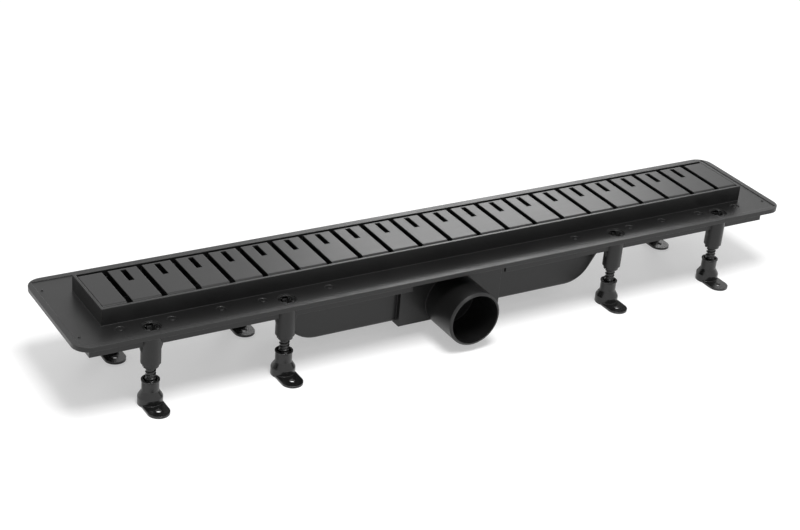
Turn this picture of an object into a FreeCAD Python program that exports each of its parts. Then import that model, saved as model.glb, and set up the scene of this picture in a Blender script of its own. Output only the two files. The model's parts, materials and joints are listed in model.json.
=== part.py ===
import FreeCAD, Part
import math
import os
import Sketcher

# Channel drain for a floor: one moulded body with a flange, a rim, a sloping channel, a deep
# trough and a side outlet, a folded grate, a lift-out odour trap, and eight levelling legs.
# The frame: +X runs along the channel, +Y away from the outlet, +Z up. The feet stand on z = 0.

SIZES = [
    # flange and rim
    ("flange_length", 700.0),
    ("flange_width", 120.0),
    ("flange_thickness", 4.0),
    ("flange_corner", 14.0),
    ("flange_border", 5.0),
    ("flange_recess", 0.6),
    ("rim_end_setback", 30.7),
    ("rim_side_setback", 29.0),
    ("rim_height", 14.2),
    ("rest_height", 84.5),
    ("wall", 2.2),
    # channel and trough, measured down from the rim
    ("end_depth", 27.0),
    ("slope_depth", 31.0),
    ("trough_depth", 67.8),
    ("trough_end_setback", 184.0),
    ("trough_end_run", 22.0),
    ("trough_bend", 30.0),
    ("trough_edge", 4.0),
    # skirt under the flange
    ("skirt_offset", 14.0),
    ("skirt_thickness", 2.4),
    ("skirt_depth", 12.4),
    ("skirt_gap", 94.0),
    # outlet housing and spigot
    ("housing_length", 102.0),
    ("housing_stand_out", 5.0),
    ("housing_drop", 2.2),
    ("sump_width", 30.0),
    ("outlet_radius", 25.0),
    ("outlet_wall", 2.4),
    ("outlet_reach", 76.5),
    ("outlet_bevel", 1.4),
    ("port_radius", 14.5),
    ("port_rise", 5.6),
    # grate
    ("grate_end_gap", 2.7),
    ("grate_side_gap", 3.7),
    ("grate_thickness", 1.5),
    ("grate_height", 12.0),
    ("grate_bend", 2.4),
    ("slot_pitch", 29.4),
    ("slot_width", 5.0),
    ("slot_notch", 5.0),
    ("short_slot_length", 19.0),
    ("short_slot_margin", 3.5),
    ("peg_width", 4.0),
    ("peg_reach", 3.6),
    ("seat_gap", 0.05),
    # legs
    ("leg_end_setback", 66.4),
    ("leg_inner_setback", 184.4),
    ("leg_side_setback", 15.1),
    ("boss_radius", 8.2),
    ("boss_depth", 28.8),
    ("gusset_reach", 13.5),
    ("gusset_depth", 25.0),
    ("gusset_thickness", 2.2),
    ("snap_radius", 6.6),
    ("snap_depth", 3.4),
    ("snap_slot", 1.6),
    ("rebate_radius", 8.0),
    ("rebate_depth", 1.0),
    ("head_radius", 6.6),
    ("head_height", 4.0),
    ("head_sink", 0.4),
    ("socket_reach", 4.9),
    ("socket_arm", 4.6),
    ("socket_depth", 3.0),
    ("screw_radius", 4.4),
    ("screw_tip", 9.5),
    ("screw_chamfer", 0.8),
    ("shaft_gap", 0.08),
    ("head_gap", 0.4),
    ("foot_height", 22.0),
    ("cup_radius", 7.1),
    ("cup_lip", 0.5),
    ("mouth_radius", 5.9),
    ("mouth_depth", 2.6),
    ("bell_radius", 10.3),
    ("bell_height", 7.0),
    ("bell_flare", 12.2),
    ("bell_round", 2.0),
    ("plate_radius", 9.2),
    ("plate_thickness", 2.0),
    ("plate_hole_radius", 2.3),
    ("plate_hole_reach", 17.0),
    # small dimples and pips on the flange
    ("dimple_radius", 4.2),
    ("dimple_core", 1.7),
    ("dimple_depth", 0.5),
    ("dimple_side_setback", 19.7),
    ("pip_radius", 1.1),
    ("pip_height", 0.7),
    ("pip_setback", 9.0),
    # odour trap
    ("trap_gap", 0.5),
    ("trap_wall", 2.0),
    ("trap_depth", 26.8),
    ("weir_rise", 2.55),
    ("weir_setback", 12.0),
    ("baffle_clearance", 6.0),
    ("hood_thickness", 1.8),
    ("hood_lip", 4.0),
    ("hood_gap", 0.3),
    ("grip_length", 24.0),
    ("grip_height", 9.0),
    ("grip_thickness", 2.0),
    ("seal_width", 3.2),
    ("seal_groove", 0.8),
    ("seal_gap", 0.8),
]

# the dimples, measured in from the flange's ends
DIMPLE_SETBACKS = [226.0, 165.2, 128.3, 86.0, 42.6]

WORKED_OUT = [
    ("rim_length", "flange_length - 2 * rim_end_setback"),
    ("rim_width", "flange_width - 2 * rim_side_setback"),
    ("grate_length", "rim_length - 2 * grate_end_gap"),
    ("grate_width", "rim_width - 2 * grate_side_gap"),
    ("trough_top_length", "flange_length - 2 * trough_end_setback"),
    ("trough_bottom_length", "trough_top_length - 2 * trough_end_run"),
    ("housing_depth", "trough_depth + housing_drop"),
    ("leg_outer_x", "flange_length / 2 - leg_end_setback"),
    ("leg_inner_x", "flange_length / 2 - leg_inner_setback"),
    ("leg_y", "flange_width / 2 - leg_side_setback"),
    ("dimple_y", "flange_width / 2 - dimple_side_setback"),
    ("pip_x", "flange_length / 2 - pip_setback"),
]

doc = FreeCAD.newDocument("channel_drain")
sizes = doc.addObject("Spreadsheet::Sheet", "sizes")
sizes.Label = "sizes"
cells = [(alias, str(value)) for alias, value in SIZES]
cells += [(alias, "=" + formula) for alias, formula in WORKED_OUT]
for number, setback in enumerate(DIMPLE_SETBACKS, start=1):
    cells.append((f"dimple_setback_{number}", str(setback)))
    cells.append((f"dimple_place_{number}", f"=flange_length / 2 - dimple_setback_{number}"))
for row, (alias, content) in enumerate(cells, start=1):
    sizes.set(f"A{row}", alias)
    sizes.set(f"B{row}", content)
    sizes.setAlias(f"B{row}", alias)
doc.recompute()


def named(text):
    """Put 'sizes.' before each alias, so that the text can be bound as an expression."""
    aliases = {alias for alias, content in cells}
    words = []
    word = ""
    for letter in text + " ":
        if letter.isalnum() or letter == "_":
            word += letter
            continue
        words.append("sizes." + word if word in aliases else word)
        words.append(letter)
        word = ""
    return "".join(words).strip()


def measure(text):
    """The present value of an expression in the sheet's sizes."""
    result = sizes.evalExpression(named(text))
    return float(getattr(result, "Value", result))


# Places worked out from the sizes
RIM_Y = "((outlet_reach - flange_width / 2) / 2)"
FLANGE_TOP = "(rest_height - rim_height)"
FLANGE_UNDER = "(rest_height - rim_height - flange_thickness)"
SUMP_FLOOR = "(rest_height - housing_depth + wall)"
HOUSING_FACE = f"({RIM_Y} - rim_width / 2 - housing_stand_out)"
HOUSING_BACK = f"({HOUSING_FACE} + sump_width + 2 * wall)"
TRAP_TOP = "(rest_height - trap_depth)"
PORT_Z = f"(({SUMP_FLOOR} + {TRAP_TOP}) / 2)"
OUTLET_Z = f"({PORT_Z} - port_rise)"
GRATE_FOOT = "(rest_height - grate_height)"
HEAD_TOP = f"({FLANGE_TOP} - rebate_depth - head_sink)"
HEAD_UNDER = f"({HEAD_TOP} - head_height)"
BOSS_END = f"({FLANGE_UNDER} - boss_depth)"


def bind(item, **expressions):
    for name, text in expressions.items():
        item.setExpression(name.replace("__", "."), named(text))


def new_body(name):
    body = doc.addObject("PartDesign::Body", name)
    body.Label = name
    return body


def plane_sketch(body, name, role, offset="0", x="0"):
    """A sketch on one of the body's own origin planes, moved along its normal and its own x."""
    sketch = body.newObject("Sketcher::SketchObject", name)
    plane = [item for item in body.Origin.OriginFeatures if item.Role == role][0]
    sketch.AttachmentSupport = [(plane, "")]
    sketch.MapMode = "FlatFace"
    sketch.setExpression(".AttachmentOffset.Base.z", named(offset))
    sketch.setExpression(".AttachmentOffset.Base.x", named(x))
    return sketch


def level_sketch(body, name, height):
    return plane_sketch(body, name, "XY_Plane", height)


def front_sketch(body, name, y):
    """A sketch that faces -Y, on the plane at y; its own y is the frame's z."""
    return plane_sketch(body, name, "XZ_Plane", f"-({y})")


def side_sketch(body, name, x="0"):
    """A sketch that faces +X; its own x is the frame's y."""
    return plane_sketch(body, name, "YZ_Plane", x)


def hold(sketch, kind, element, point, text):
    """Fix one coordinate of a point, measured from the sketch's origin."""
    value = measure(text)
    if abs(value) < 1e-9:
        axis = -2 if kind == "DistanceX" else -1
        sketch.addConstraint(Sketcher.Constraint("PointOnObject", element, point, axis))
        return
    index = sketch.addConstraint(Sketcher.Constraint(kind, -1, 1, element, point, value))
    sketch.setExpression(f"Constraints[{index}]", named(text))


def outline(sketch, corners):
    """A closed outline through corners given as expressions, (x, y) or (x, y, radius)."""
    count = len(corners)
    spots = [FreeCAD.Vector(measure(corner[0]), measure(corner[1]), 0) for corner in corners]
    radii = [measure(corner[2]) if len(corner) > 2 else 0.0 for corner in corners]
    entries, exits = [], []
    for index, spot in enumerate(spots):
        back = (spots[index - 1] - spot).normalize()
        ahead = (spots[(index + 1) % count] - spot).normalize()
        setback = radii[index] / math.tan(back.getAngle(ahead) / 2)
        entries.append(spot + back * setback)
        exits.append(spot + ahead * setback)
    first = sketch.GeometryCount
    for index in range(count):
        line = Part.LineSegment(exits[index], entries[(index + 1) % count])
        sketch.addGeometry(line, False)
    for index, corner in enumerate(corners):
        before = first + (index - 1) % count
        after = first + index
        if not radii[index]:
            sketch.addConstraint(Sketcher.Constraint("Coincident", before, 2, after, 1))
            hold(sketch, "DistanceX", after, 1, corner[0])
            hold(sketch, "DistanceY", after, 1, corner[1])
            continue
        arc = round_corner(sketch, spots[index], entries[index], exits[index], radii[index])
        turns_left = (spots[index] - entries[index]).cross(exits[index] - spots[index]).z > 0
        near, far = (1, 2) if turns_left else (2, 1)
        sketch.addConstraint(Sketcher.Constraint("Tangent", before, 2, arc, near))
        sketch.addConstraint(Sketcher.Constraint("Tangent", arc, far, after, 1))
        size = sketch.addConstraint(Sketcher.Constraint("Radius", arc, radii[index]))
        sketch.setExpression(f"Constraints[{size}]", named(corner[2]))
        mark = sketch.addGeometry(Part.Point(spots[index]), True)
        sketch.addConstraint(Sketcher.Constraint("PointOnObject", mark, 1, before))
        sketch.addConstraint(Sketcher.Constraint("PointOnObject", mark, 1, after))
        hold(sketch, "DistanceX", mark, 1, corner[0])
        hold(sketch, "DistanceY", mark, 1, corner[1])


def round_corner(sketch, spot, entry, exit_point, radius):
    """The arc that joins two lines of an outline near the corner where they would meet."""
    inward = ((entry - spot).normalize() + (exit_point - spot).normalize()).normalize()
    reach = math.hypot((entry - spot).Length, radius)
    centre = spot + inward * reach
    middle = centre - inward * radius
    return sketch.addGeometry(Part.Arc(entry, middle, exit_point), False)


def box_outline(sketch, low_x, high_x, low_y, high_y):
    outline(sketch, [(low_x, low_y), (high_x, low_y), (high_x, high_y), (low_x, high_y)])


def centred_box(sketch, x, y, length, width):
    box_outline(sketch, f"({x}) - ({length}) / 2", f"({x}) + ({length}) / 2",
                f"({y}) - ({width}) / 2", f"({y}) + ({width}) / 2")


def ring(sketch, x, y, radius):
    centre = FreeCAD.Vector(measure(x), measure(y), 0)
    item = sketch.addGeometry(Part.Circle(centre, FreeCAD.Vector(0, 0, 1), measure(radius)), False)
    hold(sketch, "DistanceX", item, 3, x)
    hold(sketch, "DistanceY", item, 3, y)
    index = sketch.addConstraint(Sketcher.Constraint("Radius", item, measure(radius)))
    sketch.setExpression(f"Constraints[{index}]", named(radius))


def pad(body, sketch, length, backward=False, both=False):
    feature = body.newObject("PartDesign::Pad", sketch.Name + "_pad")
    feature.Profile = sketch
    feature.Refine = False
    feature.SideType = "Symmetric" if both else "One side"
    feature.Reversed = backward
    bind(feature, Length=length)
    return finish(body, feature, adds=True)


def pocket(body, sketch, length, backward=False, both=False):
    feature = body.newObject("PartDesign::Pocket", sketch.Name + "_cut")
    feature.Profile = sketch
    feature.Refine = False
    feature.SideType = "Symmetric" if both else "One side"
    feature.Reversed = backward
    bind(feature, Length=length)
    return finish(body, feature, adds=False)


def turned(body, sketch):
    """Turn a profile in the side plane a full turn about the sketch's own y axis."""
    feature = body.newObject("PartDesign::Revolution", sketch.Name + "_turn")
    feature.Profile = sketch
    feature.ReferenceAxis = (sketch, ["V_Axis"])
    feature.Angle = 360.0
    return finish(body, feature, adds=True)


def finish(body, feature, adds):
    """Recompute one feature, and stop if it added or removed nothing."""
    before = feature.BaseFeature.Shape.Volume if feature.BaseFeature else 0.0
    doc.recompute([feature])
    after = feature.Shape.Volume
    if adds != (after > before) or abs(after - before) < 1e-3:
        raise RuntimeError(f"{feature.Name} changed nothing: {before:.2f} to {after:.2f}")
    return feature


def edges_where(feature, wanted):
    names = []
    for number, edge in enumerate(feature.Shape.Edges, start=1):
        if wanted(edge):
            names.append(f"Edge{number}")
    if not names:
        raise RuntimeError(f"no edges found on {feature.Name}")
    return names


def rounded(body, feature, wanted, radius, name, kind="Fillet"):
    item = body.newObject(f"PartDesign::{kind}", name)
    item.Base = (feature, edges_where(feature, wanted))
    if kind == "Fillet":
        bind(item, Radius=radius)
    else:
        bind(item, Size=radius)
    doc.recompute()
    return item


def is_upright(edge):
    ends = [vertex.Point for vertex in edge.Vertexes]
    if len(ends) != 2:
        return False
    return math.hypot(ends[0].x - ends[1].x, ends[0].y - ends[1].y) < 1e-4


def leg_places():
    """The legs' axes as expressions, with the row and number that name them."""
    rows = [("front", f"({RIM_Y} - leg_y)"), ("rear", f"({RIM_Y} + leg_y)")]
    columns = ["-leg_outer_x", "-leg_inner_x", "leg_inner_x", "leg_outer_x"]
    for row, y in rows:
        for number, x in enumerate(columns, start=1):
            yield row, number, x, y


# The moulded body ---------------------------------------------------------------------------

def flange(body):
    """The flange plate with its round corners, and a shallow recess inside a plain border."""
    plate = level_sketch(body, "flange_outline", FLANGE_UNDER)
    centred_box(plate, "0", RIM_Y, "flange_length", "flange_width")
    plate_pad = pad(body, plate, "flange_thickness")
    end = measure("flange_length") / 2

    def flange_corner(edge):
        return is_upright(edge) and abs(abs(edge.CenterOfMass.x) - end) < 0.01

    rounded(body, plate_pad, flange_corner, "flange_corner", "flange_corners")
    recess = level_sketch(body, "flange_recess_outline", FLANGE_TOP)
    centred_box(recess, "0", RIM_Y, "flange_length - 2 * flange_border",
                "flange_width - 2 * flange_border")
    centred_box(recess, "0", RIM_Y, "rim_length", "rim_width")
    return pocket(body, recess, "flange_recess")


def long_section(sketch, inset, top):
    """The channel's long section: level ends, a sloping floor and the deep trough.

    inset is how far the line lies inside the outer face, and top is its upper edge.
    """
    half = f"(rim_length / 2 - ({inset}))"
    end_floor = f"(rest_height - end_depth - wall + ({inset}))"
    slope_floor = f"(rest_height - slope_depth - wall + ({inset}))"
    trough_floor = f"(rest_height - trough_depth + ({inset}))"
    upper = f"(trough_top_length / 2 - ({inset}))"
    lower = f"(trough_bottom_length / 2 - ({inset}))"
    bend = f"(trough_bend - ({inset}))"
    left = [(f"-{half}", top), (f"-{half}", end_floor), (f"-{upper}", slope_floor),
            (f"-{lower}", trough_floor, bend)]
    right = [(lower, trough_floor, bend), (upper, slope_floor), (half, end_floor), (half, top)]
    outline(sketch, left + right)


def channel(body):
    """The solid form of the rim, the sloping channel and the trough."""
    section = front_sketch(body, "channel_section", RIM_Y)
    long_section(section, "0", "rest_height")
    solid = pad(body, section, "rim_width", both=True)
    slope = measure("rest_height - slope_depth - wall")
    side = measure("rim_width") / 2
    middle = measure(RIM_Y)

    def trough_side(edge):
        below = all(vertex.Z < slope + 0.01 for vertex in edge.Vertexes)
        low = edge.CenterOfMass.z < slope - 1.0
        return below and low and abs(abs(edge.CenterOfMass.y - middle) - side) < 0.01

    return rounded(body, solid, trough_side, "trough_edge", "trough_sides")


def hollow(body):
    """The inside of the rim, the channel and the trough, open at the top."""
    section = front_sketch(body, "hollow_section", RIM_Y)
    long_section(section, "wall", "rest_height + wall")
    return pocket(body, section, "rim_width - 2 * wall", both=True)


def skirt(body):
    """A stiffening rib that runs round under the flange, with a gap for the outlet."""
    length = "(rim_length + 2 * skirt_offset)"
    width = "(rim_width + 2 * skirt_offset)"
    rib = level_sketch(body, "skirt_outline", FLANGE_UNDER)
    centred_box(rib, "0", RIM_Y, f"{length} + 2 * skirt_thickness",
                f"{width} + 2 * skirt_thickness")
    centred_box(rib, "0", RIM_Y, length, width)
    pad(body, rib, "skirt_depth", backward=True)
    face = f"({RIM_Y} - rim_width / 2 - skirt_offset)"
    gap = level_sketch(body, "skirt_gap_outline", FLANGE_UNDER)
    box_outline(gap, "-skirt_gap / 2", "skirt_gap / 2", f"{face} - 2 * skirt_thickness",
                f"{face} + skirt_offset / 2")
    return pocket(body, gap, "skirt_depth")


def housing(body):
    """The box on the trough's front that holds the odour trap, a little deeper than the trough."""
    sump = level_sketch(body, "sump_outline", "rest_height - housing_depth")
    box_outline(sump, "-housing_length / 2", "housing_length / 2", HOUSING_FACE, HOUSING_BACK)
    pad(body, sump, "housing_depth - trough_depth + wall")
    front = level_sketch(body, "housing_outline", "rest_height - housing_depth")
    box_outline(front, "-housing_length / 2", "housing_length / 2", HOUSING_FACE, RIM_Y)
    return pad(body, front, "housing_depth - rim_height - flange_thickness / 2")


def spigot(body):
    """The round outlet, which a standard pipe socket slips over."""
    tube = front_sketch(body, "outlet_outline", HOUSING_FACE)
    ring(tube, "0", OUTLET_Z, "outlet_radius")
    barrel = pad(body, tube, f"outlet_reach - {RIM_Y} + {HOUSING_FACE}")
    mouth = measure(f"{RIM_Y} - outlet_reach")

    def mouth_edge(edge):
        return edge.Closed and abs(edge.CenterOfMass.y - mouth) < 0.01

    return rounded(body, barrel, mouth_edge, "outlet_bevel", "outlet_bevel_cut", kind="Chamfer")


def housing_hollow(body):
    """The trap's pocket, the port in its front wall and the outlet's bore."""
    room = level_sketch(body, "housing_room", SUMP_FLOOR)
    box_outline(room, "-housing_length / 2 + wall", "housing_length / 2 - wall",
                f"{HOUSING_FACE} + wall", f"{HOUSING_FACE} + wall + sump_width")
    pocket(body, room, f"{FLANGE_UNDER} - {SUMP_FLOOR} - wall", backward=True)
    bore = front_sketch(body, "outlet_bore", f"{HOUSING_FACE} - wall")
    ring(bore, "0", OUTLET_Z, "outlet_radius - outlet_wall")
    pocket(body, bore, "outlet_reach", backward=True)
    port = front_sketch(body, "outlet_port", f"{HOUSING_FACE} - wall")
    ring(port, "0", PORT_Z, "port_radius")
    return pocket(body, port, "3 * wall")


def bosses(body):
    """Eight leg bosses under the flange, each with two gussets and a slotted snap collar."""
    tubes = level_sketch(body, "boss_outline", FLANGE_UNDER)
    collars = level_sketch(body, "snap_outline", f"{BOSS_END} + wall")
    for row, number, x, y in leg_places():
        ring(tubes, x, y, "boss_radius")
        ring(collars, x, y, "snap_radius")
    pad(body, tubes, "boss_depth", backward=True)
    pad(body, collars, "snap_depth + wall", backward=True)
    for row, y in (("front", f"({RIM_Y} - leg_y)"), ("rear", f"({RIM_Y} + leg_y)")):
        web = front_sketch(body, f"{row}_gussets", y)
        for line_row, number, x, line_y in leg_places():
            if line_row == row:
                outline(web, [(f"{x} - gusset_reach", FLANGE_UNDER),
                              (f"{x} + gusset_reach", FLANGE_UNDER),
                              (f"{x} + snap_radius", f"{FLANGE_UNDER} - gusset_depth"),
                              (f"{x} - snap_radius", f"{FLANGE_UNDER} - gusset_depth")])
        pad(body, web, "gusset_thickness", both=True)


def boss_holes(body):
    """The rebate for each screw's head, the bore for its shank and the collar's slots."""
    rebates = level_sketch(body, "rebates", FLANGE_TOP)
    seats = level_sketch(body, "head_seats", FLANGE_TOP)
    bores = level_sketch(body, "shank_bores", FLANGE_TOP)
    slots = level_sketch(body, "snap_slots", f"{BOSS_END} - snap_depth")
    for row, number, x, y in leg_places():
        ring(rebates, x, y, "rebate_radius")
        ring(seats, x, y, "head_radius + head_gap")
        ring(bores, x, y, "screw_radius + shaft_gap")
        centred_box(slots, x, y, "2.5 * snap_radius", "snap_slot")
    pocket(body, rebates, "flange_recess + rebate_depth")
    pocket(body, seats, f"{FLANGE_TOP} - {HEAD_UNDER} + seat_gap")
    pocket(body, bores, "flange_thickness + boss_depth + snap_depth + wall")
    return pocket(body, slots, "snap_depth", backward=True)


def last_slot():
    """The number of the last long slot, counted from the middle one."""
    return int(measure("(grate_length / 2 - slot_width) / slot_pitch"))


def pegs(body):
    """Pairs of pegs up the long walls, on whose tops the grate's folds stand."""
    layout = level_sketch(body, "pegs", f"{GRATE_FOOT} - seat_gap")
    last = last_slot()
    for place in (-last, 3 - last, 6 - last, last - 6, last - 3, last):
        x = f"({place}) * slot_pitch"
        for side in ("-1", "1"):
            outer = f"{RIM_Y} + ({side}) * (rim_width / 2 - wall / 2)"
            inner = f"{RIM_Y} + ({side}) * (rim_width / 2 - wall - peg_reach)"
            low, high = (outer, inner) if side == "-1" else (inner, outer)
            box_outline(layout, f"{x} - peg_width / 2", f"{x} + peg_width / 2", low, high)
    return pad(body, layout, f"{GRATE_FOOT} - seat_gap - rest_height + end_depth + wall / 2",
               backward=True)


def marks(body):
    """Shallow round dimples with a raised core, and pips near the flange's corners."""
    dimples = level_sketch(body, "dimples", f"{FLANGE_TOP} - flange_recess")
    pips = level_sketch(body, "pips", f"{FLANGE_TOP} - flange_recess - wall")
    for side in ("-1", "1"):
        y = f"{RIM_Y} + ({side}) * dimple_y"
        for turn in ("-1", "1"):
            for number in range(1, len(DIMPLE_SETBACKS) + 1):
                x = f"({turn}) * dimple_place_{number}"
                ring(dimples, x, y, "dimple_radius")
                ring(dimples, x, y, "dimple_core")
            ring(pips, f"({turn}) * pip_x", y, "pip_radius")
    pocket(body, dimples, "dimple_depth")
    last = pad(body, pips, "wall + pip_height")
    last.Refine = True
    doc.recompute()


def make_channel_body():
    body = new_body("channel_body")
    channel(body)
    flange(body)
    skirt(body)
    bosses(body)
    housing(body)
    spigot(body)
    hollow(body)
    pegs(body)
    housing_hollow(body)
    boss_holes(body)
    marks(body)
    return body


# The folded grate ---------------------------------------------------------------------------

def make_grate():
    """One sheet folded down along both long edges, slotted across and notched at the folds."""
    body = new_body("grate")
    half = "(grate_width / 2)"
    top = "rest_height"
    under = f"({top} - grate_thickness)"
    inner_bend = "(grate_bend - grate_thickness)"
    section = side_sketch(body, "grate_section")
    outline(section, [
        (f"{RIM_Y} - {half}", GRATE_FOOT),
        (f"{RIM_Y} - {half}", top, "grate_bend"),
        (f"{RIM_Y} + {half}", top, "grate_bend"),
        (f"{RIM_Y} + {half}", GRATE_FOOT),
        (f"{RIM_Y} + {half} - grate_thickness", GRATE_FOOT),
        (f"{RIM_Y} + {half} - grate_thickness", under, inner_bend),
        (f"{RIM_Y} - {half} + grate_thickness", under, inner_bend),
        (f"{RIM_Y} - {half} + grate_thickness", GRATE_FOOT),
    ])
    pad(body, section, "grate_length", both=True)
    long_slots = level_sketch(body, "long_slots", top)
    last = last_slot()
    for place in range(-last, last + 1):
        centred_box(long_slots, f"({place}) * slot_pitch", RIM_Y, "slot_width",
                    "grate_width + 2 * grate_bend")
    pocket(body, long_slots, "slot_notch")
    short_slots = level_sketch(body, "short_slots", top)
    back = f"({RIM_Y} + {half} - short_slot_margin)"
    for place in range(-last, last):
        x = f"({place} + 0.5) * slot_pitch"
        box_outline(short_slots, f"{x} - slot_width / 2", f"{x} + slot_width / 2",
                    f"{back} - short_slot_length", back)
    pocket(body, short_slots, "2 * grate_thickness")
    return body


# The odour trap -----------------------------------------------------------------------------

TRAP_FRONT = f"({HOUSING_FACE} + wall + trap_gap)"
TRAP_BACK = f"({HOUSING_FACE} + wall + sump_width - trap_gap)"
TRAP_FLOOR = f"({SUMP_FLOOR} + seat_gap)"
TRAP_HEIGHT = f"({TRAP_TOP} - {TRAP_FLOOR})"
TRAP_HALF = "(housing_length / 2 - wall - trap_gap)"
WEIR_FRONT = f"({TRAP_FRONT} + trap_wall + weir_setback)"


def make_trap_box():
    """The trap's lower half: two cheeks, a front wall with the port, a short floor and a weir."""
    body = new_body("trap_box")
    block = level_sketch(body, "trap_block", TRAP_FLOOR)
    box_outline(block, f"-{TRAP_HALF}", TRAP_HALF, TRAP_FRONT, TRAP_BACK)
    pad(body, block, TRAP_HEIGHT)
    chamber = level_sketch(body, "outlet_chamber", TRAP_TOP)
    box_outline(chamber, f"-{TRAP_HALF} + trap_wall", f"{TRAP_HALF} - trap_wall",
                f"{TRAP_FRONT} + trap_wall", WEIR_FRONT)
    pocket(body, chamber, f"{TRAP_HEIGHT} - trap_wall")
    inlet = level_sketch(body, "inlet_chamber", f"{TRAP_TOP} + trap_wall")
    box_outline(inlet, f"-{TRAP_HALF} + trap_wall", f"{TRAP_HALF} - trap_wall",
                f"{WEIR_FRONT} + trap_wall", f"{TRAP_BACK} + trap_wall")
    pocket(body, inlet, f"{TRAP_HEIGHT} + 2 * trap_wall")
    crest = level_sketch(body, "weir_crest", TRAP_TOP)
    box_outline(crest, f"-{TRAP_HALF} + trap_wall", f"{TRAP_HALF} - trap_wall",
                f"{WEIR_FRONT} - trap_wall / 2", f"{WEIR_FRONT} + 1.5 * trap_wall")
    pocket(body, crest, f"{TRAP_TOP} - {PORT_Z} - weir_rise")
    port = front_sketch(body, "trap_port", f"{TRAP_FRONT} - trap_wall")
    ring(port, "0", PORT_Z, "port_radius")
    pocket(body, port, "3 * trap_wall")
    groove = front_sketch(body, "seal_groove", TRAP_FRONT)
    ring(groove, "0", PORT_Z, "port_radius + seal_gap")
    ring(groove, "0", PORT_Z, "port_radius + seal_gap + seal_width")
    pocket(body, groove, "seal_groove")
    return body


def make_trap_seal():
    """The flat ring that seals the trap's port against the housing's front wall."""
    body = new_body("trap_seal")
    flat = front_sketch(body, "seal_ring", f"{TRAP_FRONT} + seal_groove")
    ring(flat, "0", PORT_Z, "port_radius + seal_gap")
    ring(flat, "0", PORT_Z, "port_radius + seal_gap + seal_width")
    pad(body, flat, "trap_gap + seal_groove")
    return body


def make_trap_hood():
    """The lid of the trap, with the baffle that dips behind the weir and a finger grip."""
    body = new_body("trap_hood")
    inner = f"({TRAP_HALF} - trap_wall - hood_gap)"
    lid = level_sketch(body, "hood_lid", f"{TRAP_TOP} + seat_gap")
    box_outline(lid, f"-{TRAP_HALF}", TRAP_HALF, TRAP_FRONT, TRAP_BACK)
    pad(body, lid, "hood_thickness")
    baffle = level_sketch(body, "hood_baffle", f"{TRAP_TOP} + seat_gap + hood_thickness / 2")
    box_outline(baffle, f"-{inner}", inner, f"{TRAP_BACK} - trap_wall", TRAP_BACK)
    pad(body, baffle, f"{TRAP_HEIGHT} + seat_gap + hood_thickness / 2 - baffle_clearance",
        backward=True)
    lip = level_sketch(body, "hood_lip_outline", f"{TRAP_TOP} + seat_gap + hood_thickness / 2")
    box_outline(lip, f"-{inner}", inner, f"{TRAP_FRONT} + trap_wall + hood_gap",
                f"{TRAP_FRONT} + 2 * trap_wall + hood_gap")
    pad(body, lip, "hood_lip + hood_thickness / 2", backward=True)
    grip = front_sketch(body, "hood_grip", f"({TRAP_FRONT} + {TRAP_BACK}) / 2")
    base = f"({TRAP_TOP} + seat_gap + hood_thickness / 2)"
    crown = f"({TRAP_TOP} + seat_gap + hood_thickness + grip_height)"
    outline(grip, [("-grip_length / 2", base), ("grip_length / 2", base),
                   ("grip_length / 2", crown, "grip_height / 2"),
                   ("-grip_length / 2", crown, "grip_height / 2")])
    pad(body, grip, "grip_thickness", both=True)
    return body


# The levelling legs -------------------------------------------------------------------------

def stand(body, x, y):
    """Move a leg's body from the frame's origin to its own axis."""
    body.setExpression(".Placement.Base.x", named(x))
    body.setExpression(".Placement.Base.y", named(y))
    doc.recompute()


def make_screw(name, x, y):
    """A plastic levelling screw, held by its head in the boss; its shank runs into the foot."""
    body = new_body(name)
    profile = side_sketch(body, name + "_profile")
    outline(profile, [
        ("0", "screw_tip"),
        ("screw_radius - screw_chamfer", "screw_tip"),
        ("screw_radius", "screw_tip + screw_chamfer"),
        ("screw_radius", HEAD_UNDER),
        ("head_radius", HEAD_UNDER),
        ("head_radius", f"{HEAD_TOP} - screw_chamfer"),
        ("head_radius - screw_chamfer", HEAD_TOP),
        ("0", HEAD_TOP),
    ])
    turned(body, profile)
    socket = level_sketch(body, name + "_socket", HEAD_TOP)
    cross = "(socket_arm / 2)"
    arm = "socket_reach"
    outline(socket, [(f"-{arm}", f"-{cross}"), (f"-{cross}", f"-{cross}"),
                     (f"-{cross}", f"-{arm}"), (cross, f"-{arm}"), (cross, f"-{cross}"),
                     (arm, f"-{cross}"), (arm, cross), (cross, cross), (cross, arm),
                     (f"-{cross}", arm), (f"-{cross}", cross), (f"-{arm}", cross)])
    pocket(body, socket, "socket_depth")
    stand(body, x, y)
    return body


def make_foot(name, x, y):
    """A foot: a threaded cup that flares into a bell, on a plate with a fixing hole in front."""
    body = new_body(name)
    profile = side_sketch(body, name + "_profile")
    outline(profile, [
        ("0", "0"),
        ("bell_radius", "0"),
        ("bell_radius", "bell_height", "bell_round"),
        ("cup_radius", "bell_flare", "bell_round"),
        ("cup_radius", "foot_height - 3 * cup_lip"),
        ("cup_radius + cup_lip", "foot_height - 2 * cup_lip"),
        ("cup_radius + cup_lip", "foot_height"),
        ("0", "foot_height"),
    ])
    turned(body, profile)
    tongue = level_sketch(body, name + "_tongue", "0")
    box_outline(tongue, "-plate_radius", "plate_radius", "-plate_hole_reach", "0")
    pad(body, tongue, "plate_thickness")
    end = level_sketch(body, name + "_tongue_end", "0")
    ring(end, "0", "-plate_hole_reach", "plate_radius")
    pad(body, end, "plate_thickness")
    hole = level_sketch(body, name + "_fixing_hole", "plate_thickness")
    ring(hole, "0", "-plate_hole_reach", "plate_hole_radius")
    pocket(body, hole, "2 * plate_thickness")
    mouth = level_sketch(body, name + "_mouth", "foot_height")
    ring(mouth, "0", "0", "mouth_radius")
    pocket(body, mouth, "mouth_depth")
    bore = level_sketch(body, name + "_bore", "foot_height")
    ring(bore, "0", "0", "screw_radius + shaft_gap")
    pocket(body, bore, "foot_height - plate_thickness")
    stand(body, x, y)
    return body


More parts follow.
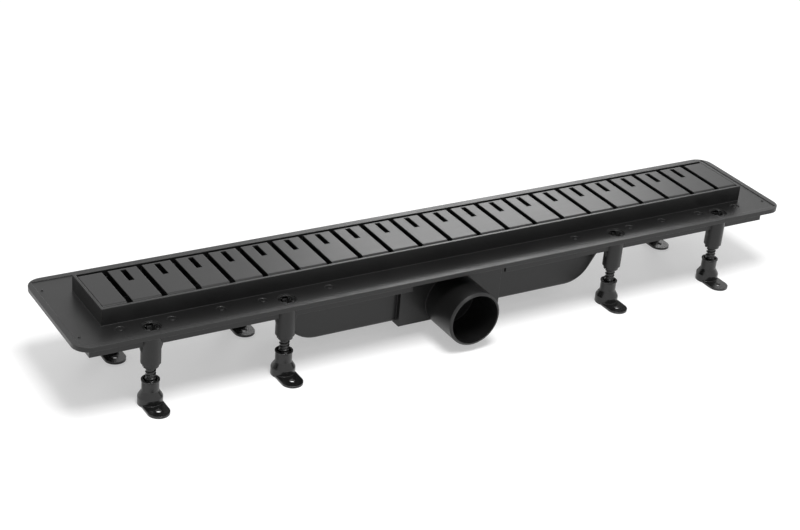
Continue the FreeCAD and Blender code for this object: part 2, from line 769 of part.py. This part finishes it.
# Build, check and write ---------------------------------------------------------------------

def main():
    parts = [make_channel_body(), make_grate(), make_trap_box(), make_trap_seal(),
             make_trap_hood()]
    for row, number, x, y in leg_places():
        parts.append(make_screw(f"{row}_screw_{number}", x, y))
        parts.append(make_foot(f"{row}_foot_{number}", x, y))
    doc.recompute()
    for item in doc.Objects:
        if "Invalid" in item.State or "Error" in item.State:
            raise RuntimeError(f"{item.Name} failed: {item.State}")
    os.makedirs("parts", exist_ok=True)
    for part in parts:
        shape = part.Shape
        if shape.isNull() or not shape.isValid() or len(shape.Solids) != 1:
            raise RuntimeError(f"{part.Label} is not one valid solid")
        shape.exportStep(f"parts/{part.Label}.step")
        box = shape.BoundBox
        print(f"{part.Label}: {shape.Volume:.0f} mm3, x {box.XMin:.2f} {box.XMax:.2f}, "
              f"y {box.YMin:.2f} {box.YMax:.2f}, z {box.ZMin:.2f} {box.ZMax:.2f}")


main()
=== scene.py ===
# %% [markdown]
# # A channel drain for a wet room, dressed in Blender
#
# The solids of this drain come from a CAD program, with every piece in its place, so nothing here has
# to be measured again. What is left for Blender is what the eye needs: light, a camera, finishes that
# look moulded or coated, and the fine shapes that are too small for the solids, such as screw threads.
#
# The first cell loads those solids. Everything is in metres, and a piece always goes where the solids
# say it goes.

# %% Load the solids
import json
import math

import bmesh
import bpy
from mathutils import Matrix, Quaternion, Vector


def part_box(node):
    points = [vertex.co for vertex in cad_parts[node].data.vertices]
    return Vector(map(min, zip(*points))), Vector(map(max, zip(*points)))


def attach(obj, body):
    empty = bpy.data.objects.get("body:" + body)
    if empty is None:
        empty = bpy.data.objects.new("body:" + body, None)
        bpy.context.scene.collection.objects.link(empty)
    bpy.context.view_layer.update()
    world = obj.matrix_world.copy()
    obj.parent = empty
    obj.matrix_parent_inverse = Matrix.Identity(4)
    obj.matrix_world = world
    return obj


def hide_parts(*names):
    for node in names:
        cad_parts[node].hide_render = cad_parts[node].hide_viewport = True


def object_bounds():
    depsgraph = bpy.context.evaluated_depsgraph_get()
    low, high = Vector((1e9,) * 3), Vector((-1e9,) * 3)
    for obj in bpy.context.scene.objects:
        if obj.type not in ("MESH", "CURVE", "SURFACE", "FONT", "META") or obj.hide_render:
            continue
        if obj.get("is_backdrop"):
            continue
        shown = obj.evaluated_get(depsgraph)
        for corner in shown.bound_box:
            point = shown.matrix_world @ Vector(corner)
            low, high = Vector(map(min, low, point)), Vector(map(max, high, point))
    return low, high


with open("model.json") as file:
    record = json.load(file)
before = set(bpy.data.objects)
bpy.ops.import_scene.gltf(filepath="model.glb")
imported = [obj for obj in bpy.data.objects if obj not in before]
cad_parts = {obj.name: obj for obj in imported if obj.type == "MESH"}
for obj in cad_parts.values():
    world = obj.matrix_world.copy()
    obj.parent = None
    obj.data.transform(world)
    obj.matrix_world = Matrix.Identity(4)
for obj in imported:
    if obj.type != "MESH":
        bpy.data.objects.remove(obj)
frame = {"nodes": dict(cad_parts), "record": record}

solids_low, solids_high = (Vector(corner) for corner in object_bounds())
nodes = frame["nodes"]
scene = bpy.context.scene
MM = 0.001
size_in_mm = [round(side / MM, 1) for side in solids_high - solids_low]
print("solids:", len(nodes), "nodes, size in mm:", size_in_mm)

# %% [markdown]
# ## The camera
#
# A long object looks stretched through a wide lens, so product pictures of drains like this one are
# made from a distance with a long lens. Two points fix the camera: where it stands and what it looks
# at. A third number, the roll, tilts the picture a little, which makes the long body climb across it.
#
# The camera, the lamps, the floor and the screws all enter the scene in the same two steps: an object is
# made around its data, and the scene's collection is told about it. One small helper does both.

# %% Stand the camera in front of the left end
CAMERA_STANDS_AT = Vector((-0.77170, -1.14711, 0.76092))
CAMERA_LOOKS_AT = Vector((-0.06480, -0.04338, 0.08450))
CAMERA_ROLL = math.radians(5.206)
CAMERA_LENS = 80.10
SENSOR_WIDTH = 36.0


def add_object(name, data):
    """Makes an object from its data and puts it in the scene."""
    made = bpy.data.objects.new(name, data)
    scene.collection.objects.link(made)
    return made


camera_data = bpy.data.cameras.new("camera")
camera_data.lens = CAMERA_LENS
camera_data.sensor_width = SENSOR_WIDTH
camera = add_object("camera", camera_data)
gaze = CAMERA_LOOKS_AT - CAMERA_STANDS_AT
camera.location = CAMERA_STANDS_AT
camera.rotation_mode = "QUATERNION"
camera.rotation_quaternion = gaze.to_track_quat("-Z", "Y") @ Quaternion((0, 0, 1), CAMERA_ROLL)
scene.camera = camera
print("camera is", round(gaze.length, 3), "m from what it looks at")

# %% [markdown]
# ## Shader arithmetic
#
# A finish is worked out from numbers that change over the surface. Blender does that with Math nodes,
# and a long chain of them is hard to read. This small class wraps a socket, so that a sum in Python
# adds the node that does it: `1 - mask` becomes a Subtract node.

# %% A socket that can be added, subtracted and multiplied
class Value:
    """A number that varies over a surface: the output socket of a node."""

    def __init__(self, socket):
        self.socket = socket

    def combined(self, operation, first, second):
        """Adds a Math node. Each term is a Value, which is linked, or a plain number."""
        tree = self.socket.id_data
        step = tree.nodes.new("ShaderNodeMath")
        step.operation = operation
        for place, term in enumerate((first, second)):
            if isinstance(term, Value):
                tree.links.new(term.socket, step.inputs[place])
            else:
                step.inputs[place].default_value = term
        return Value(step.outputs[0])

    def __add__(self, other):
        return self.combined("ADD", self, other)

    def __radd__(self, other):
        return self.combined("ADD", other, self)

    def __sub__(self, other):
        return self.combined("SUBTRACT", self, other)

    def __rsub__(self, other):
        return self.combined("SUBTRACT", other, self)

    def __mul__(self, other):
        return self.combined("MULTIPLY", self, other)

    def __rmul__(self, other):
        return self.combined("MULTIPLY", other, self)

    def clamped(self):
        """The same number, kept between 0 and 1."""
        top = self.combined("MINIMUM", self, 1.0)
        return self.combined("MAXIMUM", top, 0.0)

    def contrasted(self, gain):
        """Spreads the number away from one half, and keeps it between 0 and 1."""
        return (self * gain - (gain - 1) / 2).clamped()


print("reflected sums:", ", ".join(name for name in vars(Value) if name.startswith("__r")))

# %% [markdown]
# ## A finish
#
# Every material starts from the same shader, Principled, and differs in what feeds it. This class makes
# the material, adds any other node through one method, and keeps the few steps that all the finishes
# share: the place on the object, cloudy noise, a colour between two colours, and a bump.
#
# It also gives a mask for sharp edges. The Bevel node works out a normal as if each edge were rounded.
# Where that normal turns away from the true one, there is an edge, and how far it turns is the mask. It
# is 0 on a flat face and about 0.3 on a square edge, so each finish multiplies it. The rounded normal is
# used too: it gives every edge the small highlight of a real moulding.

# %% One class for all materials
BEVEL_SAMPLES = 4


class Finish:
    """A material and the nodes that give it its look."""

    def __init__(self, name, **constants):
        self.material = bpy.data.materials.new(name)
        self.material.use_nodes = True
        self.tree = self.material.node_tree
        self.shader = self.tree.nodes["Principled BSDF"]
        for socket, constant in constants.items():
            self.give(socket.replace("_", " "), constant)
        self.place = self.node("ShaderNodeTexCoord").outputs["Object"]

    def node(self, kind, settings=None, sockets=None):
        """Adds a node: first its settings, then the numbers or links of its sockets."""
        made = self.tree.nodes.new(kind)
        for setting, value in (settings or {}).items():
            setattr(made, setting, value)
        for socket, value in (sockets or {}).items():
            self.feed(made.inputs[socket], value)
        return made

    def feed(self, socket, value):
        """Links a socket to a Value or to another socket, or sets it to a constant."""
        if isinstance(value, Value):
            value = value.socket
        if isinstance(value, bpy.types.NodeSocket):
            self.tree.links.new(value, socket)
        else:
            socket.default_value = value

    def give(self, socket, value):
        """Feeds a socket of the shader itself."""
        self.feed(self.shader.inputs[socket], value)

    def noise(self, size, detail=2.0, roughness=0.5, place=None):
        """Cloudy noise from 0 to 1 whose blotches are about `size` across.

        It is read at the place on the object, in metres, or at a `place` worked out from it.
        """
        made = self.node(
            "ShaderNodeTexNoise",
            {"noise_dimensions": "3D"},
            {"Vector": place or self.place, "Scale": 1 / size, "Detail": detail, "Roughness": roughness},
        )
        return Value(made.outputs["Fac"])

    def mixed(self, factor, first, second):
        """A colour between two colours."""
        made = self.node("ShaderNodeMix", {"data_type": "RGBA"}, {"Factor": factor, 6: first, 7: second})
        return made.outputs[2]

    def edges(self, radius):
        """A mask that rises from 0 within `radius` of an edge, and the rounded normal there."""
        bevel = self.node("ShaderNodeBevel", {"samples": BEVEL_SAMPLES}, {"Radius": radius})
        rounded = bevel.outputs["Normal"]
        true = self.node("ShaderNodeNewGeometry").outputs["Normal"]
        turned = self.node("ShaderNodeVectorMath", {"operation": "DOT_PRODUCT"}, {0: rounded, 1: true})
        return (1 - Value(turned.outputs["Value"])).clamped(), rounded

    def bumped(self, height, distance, normal):
        """The surface with small hills of `height` times `distance` metres."""
        sockets = {"Height": height, "Distance": distance, "Normal": normal}
        return self.node("ShaderNodeBump", {}, sockets).outputs["Normal"]


def grey(level):
    """An opaque grey, from 0 for black to 1 for white."""
    return (level, level, level, 1)


print("a Finish knows:", ", ".join(name for name in vars(Finish) if not name.startswith("_")))

# %% [markdown]
# ## Black moulded plastic
#
# The body, the feet and the screws are injection moulded in black polypropylene. The mould is spark
# eroded, which leaves a fine even grain, and thick black plastic never comes out quite even: it has
# faint clouds where it cooled at different speeds. The edges are a touch paler and smoother, partly from
# wear where they were handled and partly as a painted highlight along each edge. The grain is a bump,
# the clouds change the roughness, and the edge mask does the rest.
#
# An image could carry all this, but it would need the surface unfolded, and it blurs when one comes
# close. Noise that is worked out from the place on the object needs no unfolding and stays fine.

# %% Plastic for the body, the feet and the trap
CLOUD_SIZE = 55 * MM
CLOUD_CONTRAST = 1.4
FLOW_SIZE = 12 * MM
PLASTIC_EDGE = 0.7 * MM
GRAIN_HEIGHT = 0.04 * MM
# Shares of a plastic's own grey where its clouds are darkest and palest
CLOUD_GREYS = (0.8, 1.25)
# Paler edges, partly wear and partly a painted highlight: how strong they are, and how far the flow
# marks make them come and go
EDGE_WEAR_AND_HIGHLIGHT_STRENGTH = 2.2
EDGE_WEAR_AND_HIGHLIGHT_LEAST = 0.55
EDGE_WEAR_AND_HIGHLIGHT_SWING = 0.9
# How much roughness each of them adds or takes away
ROUGHER_BY_CLOUDS = 0.16
ROUGHER_BY_FLOW = 0.08
SMOOTHER_BY_EDGE_WEAR_AND_HIGHLIGHT = 0.08


def moulded_plastic(name, level, grain, rough, edge_wear_and_highlight_lift, size_shift=0.0, gloss=0.5):
    """Black plastic: its grey, the size of its grain, its roughness and how pale its edges are, from
    wear and a painted highlight.

    `size_shift` makes the clouds of each plastic a little larger, so no two plastics have the same.
    """
    finish = Finish(name, Specular_IOR_Level=gloss)
    clouds = finish.noise(CLOUD_SIZE + size_shift, detail=3.0)
    flow = finish.noise(FLOW_SIZE + size_shift)
    edge, rounded = finish.edges(PLASTIC_EDGE)
    edge_wear_and_highlight = (edge * EDGE_WEAR_AND_HIGHLIGHT_STRENGTH * (EDGE_WEAR_AND_HIGHLIGHT_LEAST + EDGE_WEAR_AND_HIGHLIGHT_SWING * flow)).clamped()
    darkest, palest = (grey(level * share) for share in CLOUD_GREYS)
    base = finish.mixed(clouds.contrasted(CLOUD_CONTRAST), darkest, palest)
    # The edges are painted paler than the clouds: partly wear, partly a painted highlight along each
    # edge.
    finish.give("Base Color", finish.mixed(edge_wear_and_highlight, base, grey(level + edge_wear_and_highlight_lift)))
    uneven = (clouds - 0.5) * ROUGHER_BY_CLOUDS + (flow - 0.5) * ROUGHER_BY_FLOW
    finish.give("Roughness", rough + uneven - edge_wear_and_highlight * SMOOTHER_BY_EDGE_WEAR_AND_HIGHLIGHT)
    fine = finish.noise(grain, roughness=0.6)
    finish.give("Normal", finish.bumped(fine, GRAIN_HEIGHT, rounded))
    return finish.material


plastics = {
    "body_plastic": moulded_plastic(
        "black_body_plastic", level=0.006, grain=0.7 * MM, rough=0.36, edge_wear_and_highlight_lift=0.03, gloss=0.40
    ),
    "leg_plastic": moulded_plastic(
        "black_leg_plastic", level=0.006, grain=0.5 * MM, rough=0.24, edge_wear_and_highlight_lift=0.04, size_shift=1 * MM
    ),
    "trap_plastic": moulded_plastic(
        "black_trap_plastic", level=0.012, grain=0.6 * MM, rough=0.38, edge_wear_and_highlight_lift=0.03, size_shift=2 * MM
    ),
    "seal_rubber": moulded_plastic(
        "black_seal_rubber", level=0.008, grain=0.4 * MM, rough=0.60, edge_wear_and_highlight_lift=0.02, size_shift=3 * MM
    ),
}
print("plastics:", ", ".join(plastics))

# %% [markdown]
# ## Coated steel for the grate
#
# The grate is a folded stainless sheet with a black satin coat. Under the coat the sheet was brushed
# along its length, so the grain is drawn out along X, and the reflections are soft but clear. What is
# seen is the coat, so the shader is a plain glossy one and not a metal. Along the bends and punched
# edges a highlight is painted into the colour: the edges are paler, and a little smoother too.
#
# Brush marks are ordinary noise, seen through a Mapping node that squeezes it: a few blotches to the
# metre along the sheet and hundreds across it make long thin lines.

# %% Satin coat over brushed sheet
BRUSH_MARKS_PER_METRE = (12, 900, 900)
BRUSH_DEPTH = 0.012 * MM
COAT_GLOSS = 0.32
COAT_CLOUD_SIZE = 90 * MM
COAT_CONTRAST = 1.2
COAT_GREYS = (0.93, 1.08)
COAT_EDGE = 0.8 * MM
# Painted highlight along the edges: how strong the edge mask is, and how many times paler the grey
EDGE_HIGHLIGHT_STRENGTH = 2.6
EDGE_HIGHLIGHT_GREY = 2.6
ROUGHER_BY_BRUSH = 0.10
ROUGHER_BY_COAT_CLOUDS = 0.08
SMOOTHER_AT_EDGES = 0.08


def coated_steel(name, level, rough):
    """A dark satin coat over brushed sheet: its grey and its roughness."""
    finish = Finish(name, Specular_IOR_Level=COAT_GLOSS)
    sockets = {"Vector": finish.place, "Scale": BRUSH_MARKS_PER_METRE}
    squeezed = finish.node("ShaderNodeMapping", {}, sockets)
    brushed = finish.noise(1.0, detail=3.0, place=squeezed.outputs["Vector"])
    clouds = finish.noise(COAT_CLOUD_SIZE, detail=3.0)
    edge, rounded = finish.edges(COAT_EDGE)
    painted_edge_highlight = (edge * EDGE_HIGHLIGHT_STRENGTH).clamped()
    darkest, palest = (grey(level * share) for share in COAT_GREYS)
    base = finish.mixed(clouds.contrasted(COAT_CONTRAST), darkest, palest)
    # The paler edges are a painted highlight along the bends and punched edges.
    finish.give("Base Color", finish.mixed(painted_edge_highlight, base, grey(level * EDGE_HIGHLIGHT_GREY)))
    uneven = (brushed - 0.5) * ROUGHER_BY_BRUSH + (clouds - 0.5) * ROUGHER_BY_COAT_CLOUDS
    finish.give("Roughness", rough + uneven - painted_edge_highlight * SMOOTHER_AT_EDGES)
    finish.give("Normal", finish.bumped(brushed, BRUSH_DEPTH, rounded))
    return finish.material


grate_steel = coated_steel("satin_dark_steel", level=0.014, rough=0.33)
print("steel:", grate_steel.name)

# %% [markdown]
# ## Dress the solids
#
# Each CAD node keeps its own mesh and only gets a new material in its slots. The record says which slot
# a node takes its finish from, so the choice is made by that name and not by hand.

# %% Put the materials on the nodes
finish_of_slot = dict(plastics, grate_steel=grate_steel)
for subpart in frame["record"]["subparts"]:
    mesh = nodes[subpart["node"]].data
    mesh.materials.clear()
    mesh.materials.append(finish_of_slot[subpart["material_slot"]])

# %% [markdown]
# ## The adjusting screws
#
# Each leg is set to height by turning a screw from above, through the flange. The real screw has a
# coarse moulded thread, which the solids leave out because a thread has hundreds of small faces.
#
# A thread could be cut with a boolean, but a grid bent into a tube is cleaner. Its rows follow the
# helix: going once round the screw lands on the row one pitch higher, so every crest is one unbroken
# line. Where the thread would run past its ends it is pressed flat onto the core.

# %% Sizes of a screw
PITCH = 3.0 * MM
CREST_RADIUS = 4.4 * MM
ROOT_RADIUS = 3.3 * MM
# One pitch of the thread, as pairs of (share of the pitch, share of the thread's depth)
THREAD_PROFILE = (
    (0.0, 0.0), (0.26, 0.0), (0.42, 0.85), (0.48, 1.0),
    (0.62, 1.0), (0.68, 0.85), (0.84, 0.0),
)
ROUND_STEPS = 36
TIP_LENGTH = 1.2 * MM
TIP_RADIUS = 2.4 * MM
thread_depth = (CREST_RADIUS - ROOT_RADIUS) / MM
print("thread:", round(thread_depth, 1), "mm deep, one turn every", round(PITCH / MM, 1), "mm")


# %% The threaded shank
def spot_round_axis(axis, radius, share, height):
    """The place at `share` of a whole turn round the screw's axis."""
    angle = 2 * math.pi * share
    return Vector((axis.x + radius * math.cos(angle), axis.y + radius * math.sin(angle), height))


def add_shank(mesh, axis, bottom, top):
    """Adds the threaded tube between two heights."""
    grid = []
    turns = math.ceil((top - bottom) / PITCH) + 1
    for turn in range(-1, turns):
        for share, depth in THREAD_PROFILE:
            row = []
            for step in range(ROUND_STEPS):
                height = bottom + (turn + share + step / ROUND_STEPS) * PITCH
                pressed = min(max(height, bottom), top)
                raised = depth if bottom < height < top else 0.0
                radius = ROOT_RADIUS + (CREST_RADIUS - ROOT_RADIUS) * raised
                row.append(mesh.verts.new(spot_round_axis(axis, radius, step / ROUND_STEPS, pressed)))
            grid.append(row)
    for row in range(len(grid) - 1):
        for step in range(ROUND_STEPS):
            following = (step + 1) % ROUND_STEPS
            lift = 0 if following else len(THREAD_PROFILE)
            if row + 1 + lift < len(grid):
                mesh.faces.new((
                    grid[row][step],
                    grid[row + lift][following],
                    grid[row + 1 + lift][following],
                    grid[row + 1][step],
                ))


print("points to a turn of thread:", len(THREAD_PROFILE) * ROUND_STEPS)

# %% [markdown]
# The head is a stack of rings, each a circle at its own height, skinned to the next. The recess for the
# driver is a wide cross that narrows as it goes down into the shank. Its outline and the last ring are
# two closed loops in one plane, and Blender's triangle fill closes the face between them.

# %% Rings, skins and the cross
QUARTER_TURNS = ((1, 0), (0, 1), (-1, 0), (0, -1))


def add_ring(mesh, axis, radius, height):
    shares = [step / ROUND_STEPS for step in range(ROUND_STEPS)]
    return [mesh.verts.new(spot_round_axis(axis, radius, share, height)) for share in shares]


def skin(mesh, lower, upper):
    """Joins two loops with as many vertices by a band of faces."""
    for step in range(len(lower)):
        following = (step + 1) % len(lower)
        mesh.faces.new((lower[step], lower[following], upper[following], upper[step]))


def add_cross(mesh, axis, reach, half_width, height):
    """Adds the twelve corners of a cross, counterclockwise."""
    arm = ((reach, -half_width), (reach, half_width), (half_width, half_width))
    corners = [(x * cos - y * sin, x * sin + y * cos) for cos, sin in QUARTER_TURNS for x, y in arm]
    return [mesh.verts.new((axis.x + x, axis.y + y, height)) for x, y in corners]


def close_between(mesh, outer, inner):
    """Fills the flat face between two closed loops of vertices."""
    edges = []
    for loop in (outer, inner):
        for step, vertex in enumerate(loop):
            pair = (vertex, loop[(step + 1) % len(loop)])
            edges.append(mesh.edges.get(pair) or mesh.edges.new(pair))
    bmesh.ops.triangle_fill(mesh, use_beauty=True, edges=edges)


print("corners of the cross:", 3 * len(QUARTER_TURNS))

# %% The head with its cross recess
HEAD_RADIUS = 6.6 * MM
HEAD_THICKNESS = 4.0 * MM
# The head's rounded upper edge, as pairs of (how far in, how far down)
HEAD_EDGE = ((0.0, 0.7 * MM), (0.2 * MM, 0.25 * MM), (0.8 * MM, 0.0))
NECK_LENGTH = 3.0 * MM
# Share of the neck, down from the head, that is as thick as the thread
NECK_STRAIGHT = 0.7
RECESS_DEPTH = 6.2 * MM
RECESS_REACH = 5.4 * MM
RECESS_HALF_WIDTH = 2.7 * MM
# How large the recess still is at its floor
RECESS_TAPER = 0.46


def add_head(mesh, axis, under, top):
    """Adds the neck and the head, from the end of the thread up to the recess."""
    rings = [
        add_ring(mesh, axis, ROOT_RADIUS, under - NECK_LENGTH),
        add_ring(mesh, axis, CREST_RADIUS, under - NECK_LENGTH * NECK_STRAIGHT),
        add_ring(mesh, axis, CREST_RADIUS, under),
        add_ring(mesh, axis, HEAD_RADIUS, under),
    ]
    rings += [add_ring(mesh, axis, HEAD_RADIUS - inward, top - down) for inward, down in HEAD_EDGE]
    for lower, upper in zip(rings, rings[1:]):
        skin(mesh, lower, upper)
    mouth = add_cross(mesh, axis, RECESS_REACH, RECESS_HALF_WIDTH, top)
    floor_sizes = (RECESS_REACH * RECESS_TAPER, RECESS_HALF_WIDTH * RECESS_TAPER)
    recess_floor = add_cross(mesh, axis, *floor_sizes, top - RECESS_DEPTH)
    close_between(mesh, rings[-1], mouth)
    skin(mesh, mouth, recess_floor)
    mesh.faces.new(recess_floor)
    mesh.faces.new(list(reversed(rings[0])))


print("recess:", round(RECESS_DEPTH / MM, 1), "mm deep")

# %% [markdown]
# Shank, tip and head are made apart and meet in rings of the same size. Merging the vertices that fall
# on each other joins them, and takes up the rows of the thread that were pressed flat.

# %% A whole screw for each CAD screw
MERGE_DISTANCE = 0.01 * MM
SHARP_FROM = math.radians(40)


def make_screw(node):
    """A screw with its thread, in the box of a CAD screw."""
    low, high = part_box(node)
    axis = (low + high) / 2
    under = high.z - HEAD_THICKNESS
    shank_bottom = low.z + TIP_LENGTH
    mesh = bmesh.new()
    add_shank(mesh, axis, shank_bottom, under - NECK_LENGTH)
    tip = add_ring(mesh, axis, TIP_RADIUS, low.z)
    skin(mesh, tip, add_ring(mesh, axis, ROOT_RADIUS, shank_bottom))
    mesh.faces.new(list(reversed(tip)))
    add_head(mesh, axis, under, high.z)
    bmesh.ops.remove_doubles(mesh, verts=mesh.verts, dist=MERGE_DISTANCE)
    bmesh.ops.dissolve_degenerate(mesh, edges=mesh.edges, dist=MERGE_DISTANCE)
    bmesh.ops.recalc_face_normals(mesh, faces=mesh.faces)
    data = bpy.data.meshes.new(node + "_threaded")
    mesh.to_mesh(data)
    mesh.free()
    data.materials.append(plastics["leg_plastic"])
    for face in data.polygons:
        face.use_smooth = True
    data.set_sharp_from_angle(angle=SHARP_FROM)
    return add_object(node + "_threaded", data)


screw_bodies = [
    (node, body)
    for body, members in frame["record"]["behaviour"]["bodies"].items()
    for node in members
    if "screw" in node
]
for node, body in screw_bodies:
    screw = make_screw(node)
    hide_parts(node)
    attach(screw, body)
print(len(screw_bodies), "screws of", len(screw.data.polygons), "faces each")

# %% [markdown]
# ## The floor and the light
#
# A black object on white needs big soft lights. Its own colour is almost nothing, so what the eye reads
# is the bright room reflected in it. Four things make that light here. The floor glows a little. The
# world is white for the camera and for reflections, and half as bright where it only lights. A soft
# lamp high up, a little to the front, draws the shadow under the flange. A second lamp low at the back
# stands where the top faces mirror the camera, so the middle of the grate is brighter than its ends.

# %% A wide pale floor
FLOOR_HALF = 14.0
FLOOR_SQUARES = 24
FLOOR_GLOW = 0.40
FLOOR_GREYS = (0.62, 0.64)
FLOOR_CLOUD_SIZE = 0.8

floor_mesh = bmesh.new()
bmesh.ops.create_grid(floor_mesh, x_segments=FLOOR_SQUARES, y_segments=FLOOR_SQUARES, size=FLOOR_HALF)
floor_data = bpy.data.meshes.new("floor")
floor_mesh.to_mesh(floor_data)
floor_mesh.free()
floor = add_object("floor", floor_data)
floor.location.z = solids_low.z
floor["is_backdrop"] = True

floor_finish = Finish("pale_floor", Roughness=0.9, Specular_IOR_Level=0.1, Emission_Strength=FLOOR_GLOW)
floor_clouds = floor_finish.noise(FLOOR_CLOUD_SIZE)
darkest, palest = (grey(level) for level in FLOOR_GREYS)
floor_finish.give("Base Color", floor_finish.mixed(floor_clouds, darkest, palest))
floor_finish.give("Emission Color", grey(1.0))
floor_data.materials.append(floor_finish.material)
print("floor:", 2 * FLOOR_HALF, "m wide")

# %% The world
ROOM_LIGHT = 0.50

world = bpy.data.worlds.new("white_room")
world.use_nodes = True
scene.world = world
sky = world.node_tree
path = sky.nodes.new("ShaderNodeLightPath")
seen = Value(path.outputs["Is Camera Ray"]) + Value(path.outputs["Is Glossy Ray"])
seen = (seen + Value(path.outputs["Is Transmission Ray"])).clamped()
background = sky.nodes["Background"]
background.inputs["Color"].default_value = grey(1.0)
sky.links.new((ROOM_LIGHT + seen * (1 - ROOM_LIGHT)).socket, background.inputs["Strength"])
print("room: strength 1 where it is seen,", ROOM_LIGHT, "where it lights")

# %% Two soft lamps
OVERHEAD_AT = Vector((-0.20, -0.62, 2.0))
OVERHEAD_SIZE = (0.74, 0.74)
OVERHEAD_POWER = 37.0
BACK_DISTANCE = 1.6
BACK_SIZE = (0.55, 0.4)
BACK_POWER = 3.9
# How far to the right of the middle the grate shines most
SHINIEST_X = 0.12


def soft_lamp(name, at, aim, size, power):
    """A rectangular lamp that faces what it is aimed at."""
    data = bpy.data.lights.new(name, "AREA")
    data.shape = "RECTANGLE"
    data.size, data.size_y = size
    data.energy = power
    lamp = add_object(name, data)
    lamp.location = at
    lamp.rotation_mode = "QUATERNION"
    lamp.rotation_quaternion = (aim - at).to_track_quat("-Z", "Y")


rim_top = Vector((0, 0, solids_high.z))
soft_lamp("overhead_lamp", OVERHEAD_AT, rim_top, OVERHEAD_SIZE, OVERHEAD_POWER)

# A ray from the camera that meets a level face leaves it with its z turned round
mirrored = Vector((gaze.x, gaze.y, -gaze.z)).normalized()
shiniest_spot = Vector((SHINIEST_X, 0, solids_high.z))
soft_lamp("back_lamp", shiniest_spot + BACK_DISTANCE * mirrored, shiniest_spot, BACK_SIZE, BACK_POWER)
from_overhead = math.degrees(mirrored.angle(Vector((0, 0, 1))))
print("back lamp stands", round(from_overhead), "degrees from overhead")

# %% [markdown]
# ## The view
#
# The picture should come out as the colours are written, so the plain Standard view is used.

# %% Use the Standard view
scene.view_settings.view_transform = "Standard"
